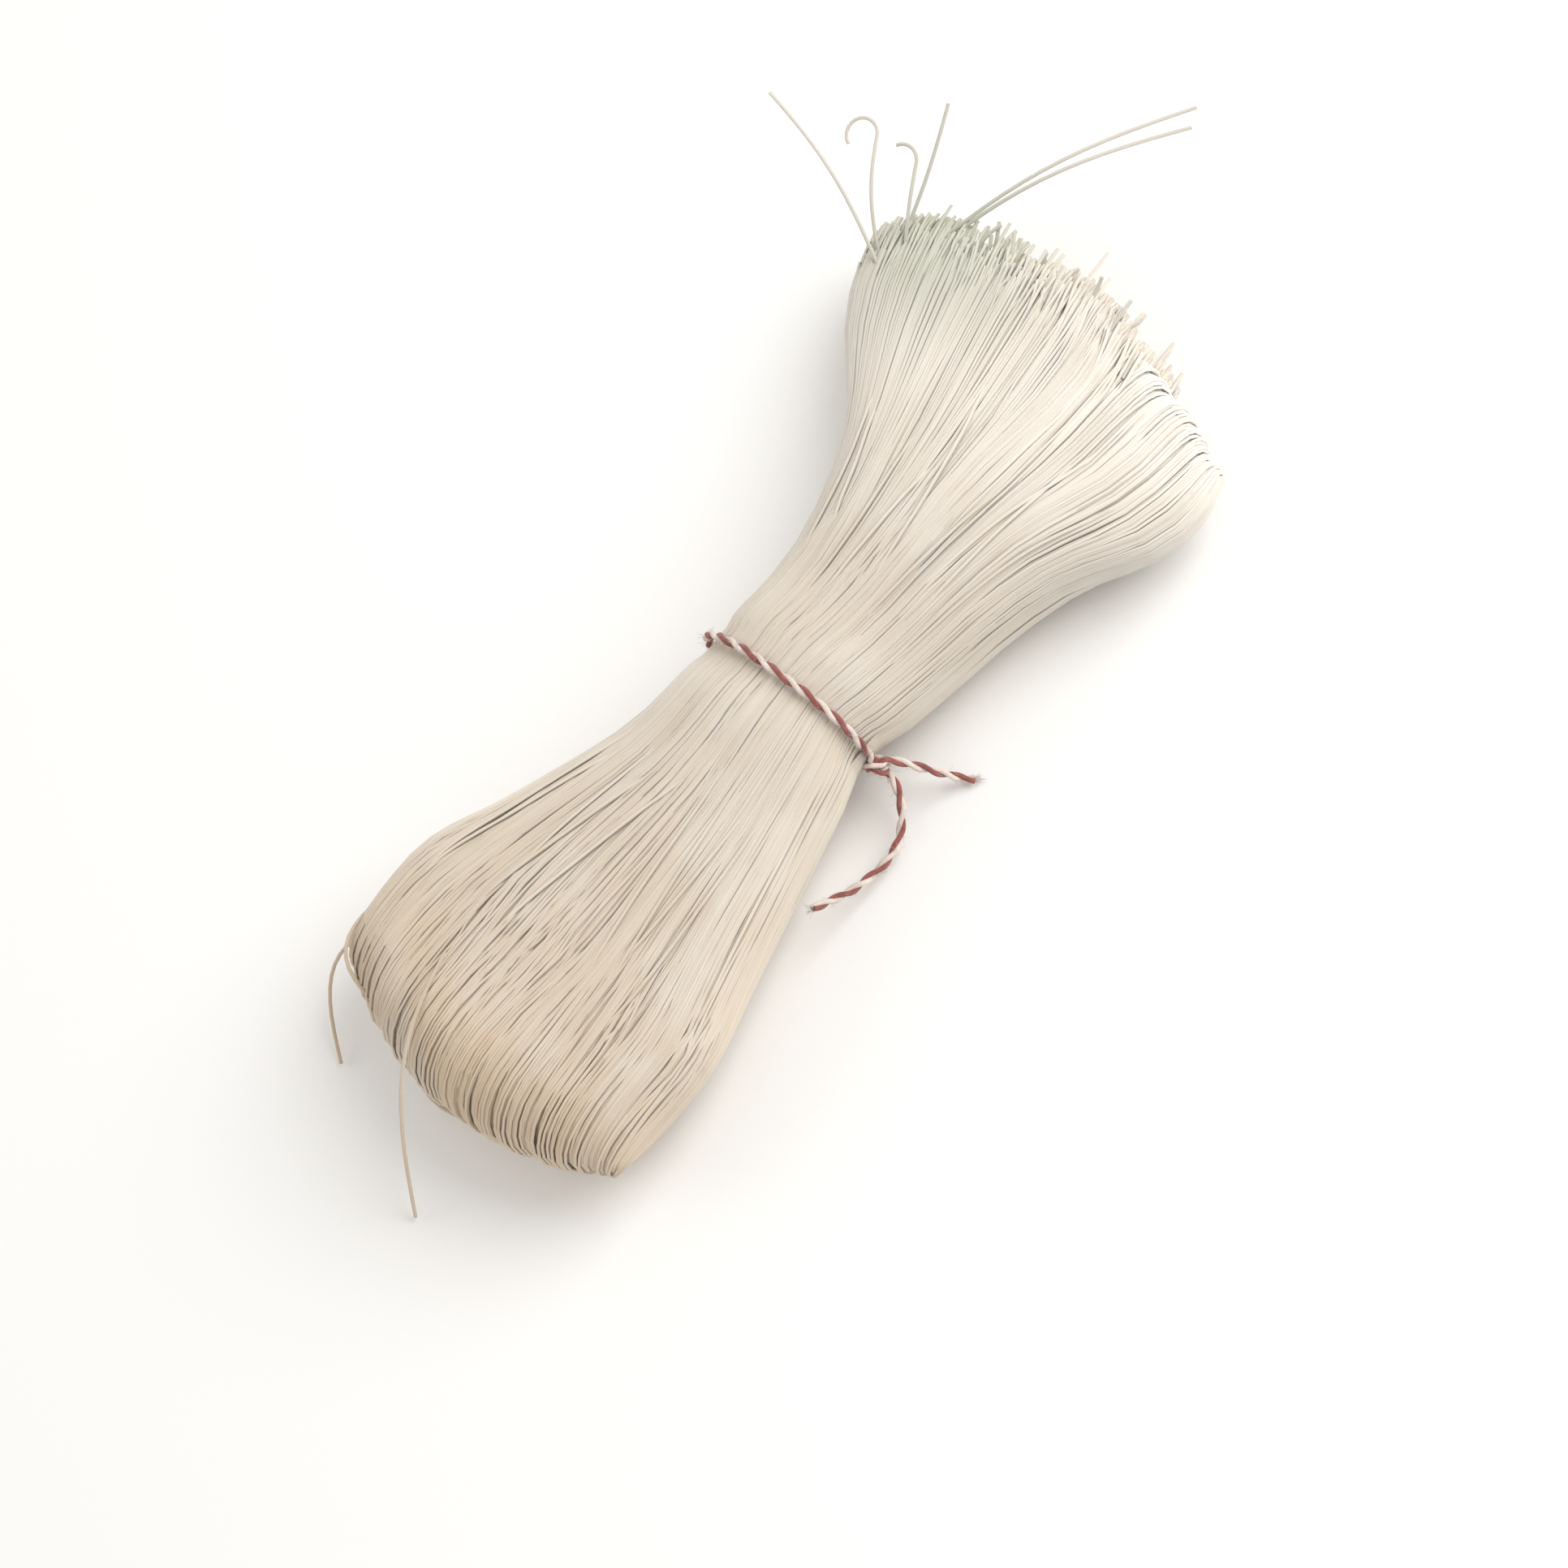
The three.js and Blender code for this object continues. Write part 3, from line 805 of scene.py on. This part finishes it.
def starch_colour(group, place, clearness):
    """Whiter to the cut end; darker and warmer to the fold, most of all at its very end, with painted
    shade and painted warm bounce light; painted shade in the waist; uneven from noodle to noodle; and
    painted grey-green shade where the cut ends are thin enough to see into the shaded depth. Distances
    are in metres, and along is measured from the middle of the part's box."""
    apart = group.nodes.new("ShaderNodeSeparateXYZ")
    group.links.new(place, apart.inputs[0])
    along = apart.outputs["X"]
    # painted shade and painted warm bounce light grow from the cut end to the fold
    shaded_to_fold = colour_mix(group, ramp(group, along, -0.09, 0.08), FOLD_PAINTED_SHADE_AND_BOUNCE, CUT_STARCH)
    # deeper painted shade and warm bounce light at the very end of the fold
    fold_end_shaded = part_mix(group, ramp(group, along, -0.065, -0.12), 0.9, shaded_to_fold, FOLD_END_PAINTED_SHADE)
    # painted shade round the waist, under the twine
    from_waist = math_node(group, "ABSOLUTE", math_node(group, "ADD", along, BOX_MIDDLE[0] * MM))
    waist_shaded = part_mix(group, ramp(group, from_waist, 0.06, 0.02), 0.5, fold_end_shaded, WAIST_PAINTED_SHADE)
    own_tint = ramp(group, attribute(group, "noodle_tint").outputs["Fac"], 0, 1)
    own = colour_mix(group, own_tint, DULL_NOODLE, BRIGHT_NOODLE)
    tinted = colour_mix(group, 0.3, waist_shaded, own)
    patches = ramp(group, noise(group, place, 55.0), 0.42, 0.72)
    patched = part_mix(group, patches, 0.3, tinted, PALE_PATCH)
    # painted grey-green shade at the thin corner of the cut end
    from_thin_spot = vector_node(group, "DISTANCE", place, Vector(to_metres(THIN_SPOT)))
    thin = ramp(group, from_thin_spot, 0.036, 0.004)
    shaded_through = part_mix(group, thin, 0.7, patched, GREY_GREEN_PAINTED_SHADE)
    return colour_mix(group, clearness, shaded_through, CLEAR_STARCH)


def sheet_normal(group, place, sheet_like):
    """A noodle's own fine relief, blended into the face of the hank, which `outward` holds."""
    relief = bumped(group, noise(group, place, 1500.0, 2.0), 0.15, 0.0002)
    blend = group.nodes.new("ShaderNodeMix")
    blend.data_type = "VECTOR"
    group.links.new(sheet_like, blend.inputs[0])
    group.links.new(relief, blend.inputs[4])
    group.links.new(attribute(group, "outward").outputs["Vector"], blend.inputs[5])
    level = group.nodes.new("ShaderNodeVectorMath")
    level.operation = "NORMALIZE"
    group.links.new(blend.outputs[1], level.inputs[0])
    return level.outputs["Vector"]


def starch_group():
    """Dried starch. Clearness is how glassy a noodle is, and Sheet Like is how far its shading follows
    the face of the hank, because light spreads from noodle to noodle."""
    group, given, result = new_group(
        "Dried starch",
        (("Clearness", "Float"), ("Sheet Like", "Float")),
        (("Colour", "Color"), ("Roughness", "Float"), ("Normal", "Vector")),
    )
    place = object_place(group)
    colour = starch_colour(group, place, given.outputs["Clearness"])
    group.links.new(colour, result.inputs["Colour"])
    gloss = group.nodes.new("ShaderNodeMapRange")
    group.links.new(noise(group, place, 420.0, 2.0), gloss.inputs["Value"])
    gloss.inputs["To Min"].default_value = 0.3
    gloss.inputs["To Max"].default_value = 0.52
    group.links.new(gloss.outputs["Result"], result.inputs["Roughness"])
    normal = sheet_normal(group, place, given.outputs["Sheet Like"])
    group.links.new(normal, result.inputs["Normal"])
    return group


def starch_material(name, group, clearness, sheet_like):
    """Dried noodle: milky, a little clear, with a silky gloss."""
    material, tree, shader = new_material(name)
    starch = placed_group(tree, group, {"Clearness": clearness, "Sheet Like": sheet_like})
    tree.links.new(starch.outputs["Colour"], shader.inputs["Base Color"])
    tree.links.new(starch.outputs["Roughness"], shader.inputs["Roughness"])
    tree.links.new(starch.outputs["Normal"], shader.inputs["Normal"])
    shader.inputs["IOR"].default_value = 1.45
    shader.inputs["Diffuse Roughness"].default_value = 1.0
    shader.inputs["Transmission Weight"].default_value = clearness
    shader.inputs["Subsurface Weight"].default_value = 0.08
    shader.inputs["Subsurface Radius"].default_value = (1.0, 0.85, 0.65)
    shader.inputs["Subsurface Scale"].default_value = 0.0005
    return material


def core_material():
    """What shows deep between the noodles: the same starch, grooved along the hank, with painted shade in
    the grooves and painted light on their ridges.
    """
    material, tree, shader = new_material("starch in the hank's depth")
    stretch = tree.nodes.new("ShaderNodeMapping")
    stretch.inputs["Scale"].default_value = (0.04, 1, 1)
    tree.links.new(object_place(tree), stretch.inputs["Vector"])
    grooves = noise(tree, stretch.outputs["Vector"], 900.0, 2.0)
    # painted shade in the grooves and painted light on their ridges
    colour = colour_mix(tree, ramp(tree, grooves, 0.35, 0.65), *DEEP_STARCH_SHADED_AND_LIT)
    tree.links.new(colour, shader.inputs["Base Color"])
    tree.links.new(bumped(tree, grooves, 0.6, 0.0005), shader.inputs["Normal"])
    shader.inputs["Roughness"].default_value = 0.55
    return material


def spun_fibres_group():
    """The fine fibres of a spun ply, which wind slantwise round it, as a height from 0 to 1."""
    group, given, result = new_group(
        "Spun fibres",
        (("Fibres Round", "Float"), ("Fibre Lay", "Float"), ("Wander", "Float")),
        (("Fibres", "Float"),),
    )
    apart = group.nodes.new("ShaderNodeSeparateXYZ")
    group.links.new(attribute(group, "lay").outputs["Vector"], apart.inputs[0])
    angle = math_node(group, "ARCTAN2", apart.outputs["Y"], apart.outputs["X"])
    lays = math_node(group, "DIVIDE", apart.outputs["Z"], given.outputs["Fibre Lay"])
    wound = math_node(group, "ADD", angle, math_node(group, "MULTIPLY", lays, 2 * math.pi))
    round_ply = math_node(group, "MULTIPLY", wound, given.outputs["Fibres Round"])
    unevenness = noise(group, object_place(group), 900.0, 3.0)
    strayed = math_node(group, "MULTIPLY", unevenness, given.outputs["Wander"])
    wave = math_node(group, "SINE", math_node(group, "ADD", round_ply, strayed))
    height = math_node(group, "MULTIPLY", math_node(group, "ADD", wave, 1.0), 0.5)
    group.links.new(height, result.inputs["Fibres"])
    return group


def cotton_material(name, group, colours):
    """Spun cotton: matt, with a faint sheen of loose fibres, and painted shade between its fibres and
    painted light on them.
    """
    material, tree, shader = new_material(name)
    spun = placed_group(tree, group, {"Fibres Round": 9.0, "Fibre Lay": 0.0062, "Wander": 9.0})
    fibres = spun.outputs["Fibres"]
    blotches = ramp(tree, noise(tree, object_place(tree), 500.0, 3.0), 0.3, 0.7)
    # painted shade between the fibres and painted light on them, mixed half and half with random blotches
    lit = math_node(tree, "MULTIPLY", math_node(tree, "ADD", fibres, blotches), 0.5)
    tree.links.new(colour_mix(tree, lit, *colours), shader.inputs["Base Color"])
    tree.links.new(bumped(tree, fibres, 0.7, 0.0001), shader.inputs["Normal"])
    shader.inputs["Roughness"].default_value = 0.85
    shader.inputs["Sheen Weight"].default_value = 0.3
    return material


# ---- the hank's core -----------------------------------------------------------------------------


def end_caps(around, last):
    """Faces that close the first ring and the last with strips from their upper to their under side."""
    faces = []
    for j in range(around // 2):
        strip = [j, j + 1, around - j - 1, (around - j) % around]
        strip = list(dict.fromkeys(strip))  # the outermost strips are triangles
        faces.append(tuple(reversed(strip)))
        faces.append(tuple(last + corner for corner in strip))
    return faces


def hank_core(material):
    """A closed body under the noodles. It stops short of the cut face, which noodle ends fill."""
    around = 120
    turns = np.linspace(0, 2 * math.pi, around, endpoint=False)
    rings = []
    for rise in np.radians([8, 25, 42, 60, 76]):
        x = -(FOLD_REACH - CORE_DEPTH) + (FOLD_NOSE - CORE_DEPTH) * (1 - math.cos(rise))
        rings.append(skin(x, turns, CORE_DEPTH, math.sin(rise)))
    in_tress = smooth((TRESS_EDGE + 0.04 - across_of(turns)) / 0.08)
    for x in np.linspace(-(FOLD_REACH - FOLD_NOSE), CORE_END, 44):
        into_nose = np.clip((x - CUT_REACH + TRESS_NOSE) / (TRESS_NOSE - CORE_DEPTH - 0.6), 0, 0.97)
        squeeze = mix(1, math.sqrt(1 - into_nose**2), in_tress)
        rings.append(skin(x, turns, CORE_DEPTH, squeeze))
    corners = to_metres(np.concatenate(rings))
    faces = []
    for start in range(0, (len(rings) - 1) * around, around):
        for j in range(around):
            k = (j + 1) % around
            faces.append((start + j, start + k, start + around + k, start + around + j))
    faces += end_caps(around, (len(rings) - 1) * around)
    mesh = bpy.data.meshes.new("noodle_core")
    mesh.from_pydata(corners.tolist(), [], faces)
    mesh.polygons.foreach_set("use_smooth", [True] * len(faces))
    mesh.materials.append(material)
    piece = bpy.data.objects.new("noodle_core", mesh)
    bpy.context.scene.collection.objects.link(piece)
    return piece


# ---- the twine's route ---------------------------------------------------------------------------


def catmull_rom(points):
    """A smooth path through the points, sampled about every half millimetre."""
    points = np.array(points, float)
    ends = np.concatenate([[2 * points[0] - points[1]], points, [2 * points[-1] - points[-2]]])
    path = []
    for a, b, c, d in zip(ends, ends[1:], ends[2:], ends[3:]):
        count = max(2, int(np.linalg.norm(c - b) / 0.5))
        t = np.linspace(0, 1, count, endpoint=False)[:, None]
        doubled = 2 * b + (c - a) * t
        doubled += (2 * a - 5 * b + 4 * c - d) * t**2
        doubled += (3 * b - a - 3 * c + d) * t**3
        path.append(doubled / 2)
    return np.concatenate([*path, [points[-1]]])


def loop_point(turn):
    return skin(0.0, np.asarray(turn, float), -(FIT_GAP + TWINE_DIAMETER / 2))


def twine_path():
    """One length: from the outer tail into the knot, round the waist, through the knot again and out
    along the back tail."""
    knot = loop_point(KNOT_TURN) + [0, -0.9, 0]
    lying = TWINE_DIAMETER / 2
    outer_tail = [(11, -31.6, lying), (9.6, -29.6, lying + 0.9), (7.4, -26.4, 6)]
    outer_tail.append(knot + [2.6, -1.8, -0.4])
    first_hitch = [knot + [0.9, -1.3, 1.4], knot + [-0.9, 0.1, 1.9], knot + [-1.3, 0.9, 0.2]]
    loop = [loop_point(KNOT_TURN + 2 * math.pi * share) for share in np.linspace(0.022, 0.978, 36)]
    second_hitch = [knot + [1.2, 0.6, -0.2], knot + [1.1, -1.0, -1.5], knot + [-0.2, -1.7, -0.4]]
    second_hitch += [knot + [-1.2, -0.6, 0.9], knot + [-0.6, 0.3, -1.0]]
    back_tail = [knot + [0.2, -2.4, -2.8], (-2.2, -26.2, 5), (-9, -28.6, 2.6)]
    back_tail += [(-18.3, -28.2, 4.8), (-26, -27, 10.5)]
    return catmull_rom([*outer_tail, *first_hitch, *loop, *second_hitch, *back_tail])


def frayed_ends(path):
    """Fine fibres that spread out of both cut tips of the twine."""
    paths = []
    for tip, behind in ((path[0], path[6]), (path[-1], path[-7])):
        outward = unit(tip - behind)
        for _ in range(FRAYED_FIBRES):
            root = tip - outward * 0.6 + rng.normal(0, 0.25, 3)
            heading = outward + rng.normal(0, 0.3, 3)
            paths.append(curled_end(root, heading, rng.uniform(1.0, 2.4), rng.normal(0, 0.2)))
    return paths


def fuzz(path):
    """Short stray fibres all along the twine."""
    paths = []
    for _ in range(FUZZ_FIBRES):
        i = rng.integers(6, len(path) - 6)
        forward = unit(path[i + 2] - path[i - 2])
        outward = any_direction_across(forward)
        root = path[i] + outward * TWINE_DIAMETER * 0.38
        heading = forward * rng.choice([-1, 1]) * rng.uniform(0.6, 1.4) + outward * rng.uniform(0.3, 1)
        paths.append(curled_end(root, heading, rng.uniform(0.7, 1.9), rng.normal(0, 0.6)))
    return paths


# ---- the scene -----------------------------------------------------------------------------------


def noodle_pieces():
    group = starch_group()
    starch = starch_material("dried starch", group, 0.03, 0.8)
    cut_starch = starch_material("dried starch of cut ends", group, 0.03, 0.1)
    clear_starch = starch_material("dried starch of single noodles", group, 0.22, 0.0)
    tree = noodle_tree()
    core = hank_core(core_material())
    pieces = [core]
    for side, paths in bundle_paths().items():
        name = "noodles_" + side
        pieces.append(grown_from(tree, name, path_mesh(name, paths), {"Finish": starch, "Core": core}))
    others = (
        ("noodle_cut_face", cut_face_paths(), cut_starch, 6),
        ("noodles_loose_on_top", loose_on_top(), starch, 6),
        ("noodle_loose_ends", loose_end_paths(), clear_starch, 10),
    )
    for name, paths, finish, sides in others:
        values = {"Finish": finish, "Core": core, "Sides": sides}
        pieces.append(grown_from(tree, name, path_mesh(name, paths), values))
    for piece in pieces:
        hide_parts("vermicelli")
        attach(piece, "root")


def twine_pieces():
    group = spun_fibres_group()
    white = cotton_material("white cotton", group, WHITE_COTTON_SHADED_AND_LIT)
    red = cotton_material("brick red cotton", group, RED_COTTON_SHADED_AND_LIT)
    path = twine_path()
    tree = ply_tree()
    pieces = []
    for name, start, cotton in (("twine_white_ply", 0.0, white), ("twine_red_ply", 0.5, red)):
        values = {"Starting Turn": start, "Finish": cotton}
        pieces.append(grown_from(tree, name, path_mesh(name, [path]), values))
    name = "twine_fibres"
    values = {"Diameter": FIBRE_DIAMETER * MM, "Sides": 3, "Finish": white}
    fibres = path_mesh(name, frayed_ends(path) + fuzz(path))
    pieces.append(grown_from(noodle_tree(), name, fibres, values))
    for piece in pieces:
        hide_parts("tie_twine")
        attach(piece, "root")


def floor():
    mesh = bpy.data.meshes.new("floor")
    side = 3.0
    corners = [(-side, -side, 0), (side, -side, 0), (side, side, 0), (-side, side, 0)]
    mesh.from_pydata(corners, [], [(0, 1, 2, 3)])
    material, _, shader = new_material("pale floor")
    shader.inputs["Base Color"].default_value = (0.94, 0.935, 0.925, 1)
    shader.inputs["Roughness"].default_value = 0.8
    mesh.materials.append(material)
    piece = bpy.data.objects.new("floor", mesh)
    piece.location.z = -0.0002  # clear of the hank's underside
    bpy.context.scene.collection.objects.link(piece)


def area_light(name, direction, distance, size, power, colour=(1, 1, 1)):
    light = bpy.data.lights.new(name, "AREA")
    light.shape = "DISK"
    light.size = size
    light.energy = power
    light.color = colour
    lamp = bpy.data.objects.new(name, light)
    towards = Vector(direction).normalized()
    lamp.location = towards * distance
    lamp.rotation_euler = towards.to_track_quat("Z", "Y").to_euler()
    bpy.context.scene.collection.objects.link(lamp)


def lights():
    world = bpy.data.worlds.new("studio")
    bpy.context.scene.world = world
    world.use_nodes = True
    background = world.node_tree.nodes["Background"]
    background.inputs["Color"].default_value = (1, 0.99, 0.97, 1)
    background.inputs["Strength"].default_value = 0.65
    area_light("key", (0.72, -0.38, 0.68), 1.2, 1.0, 11.3)
    area_light("fill", (-0.5, 0.7, 0.7), 1.4, 1.0, 2.5, (1, 0.94, 0.85))


def camera():
    """Looks at the hank as the photograph does. right and up are the picture's own directions."""
    level_right = Vector((1, 0, 0))
    level_up = Vector((0, math.sin(CAMERA_ELEVATION), math.cos(CAMERA_ELEVATION)))
    right = math.cos(CAMERA_ROLL) * level_right - math.sin(CAMERA_ROLL) * level_up
    up = math.sin(CAMERA_ROLL) * level_right + math.cos(CAMERA_ROLL) * level_up
    back = right.cross(up)
    waist = Vector(to_metres(WAIST_MIDDLE))
    frame_middle = FRAME_PIXELS / 2
    aside = (frame_middle - WAIST_PIXEL[0]) / PIXELS_PER_MM * MM
    above = (WAIST_PIXEL[1] - frame_middle) / PIXELS_PER_MM * MM
    aim = waist + right * aside + up * above
    distance = FRAME_PIXELS / PIXELS_PER_MM * MM * LENS / SENSOR
    lens = bpy.data.cameras.new("camera")
    lens.lens = LENS
    lens.sensor_width = SENSOR
    lens.clip_start = 0.01
    view = bpy.data.objects.new("camera", lens)
    turned = Matrix((right, up, back)).transposed().to_4x4()
    view.matrix_world = Matrix.Translation(aim + back * distance) @ turned
    bpy.context.scene.collection.objects.link(view)
    bpy.context.scene.camera = view


def main():
    noodle_pieces()
    twine_pieces()
    floor()
    lights()
    camera()
    bpy.context.scene.view_settings.view_transform = "Standard"


main()
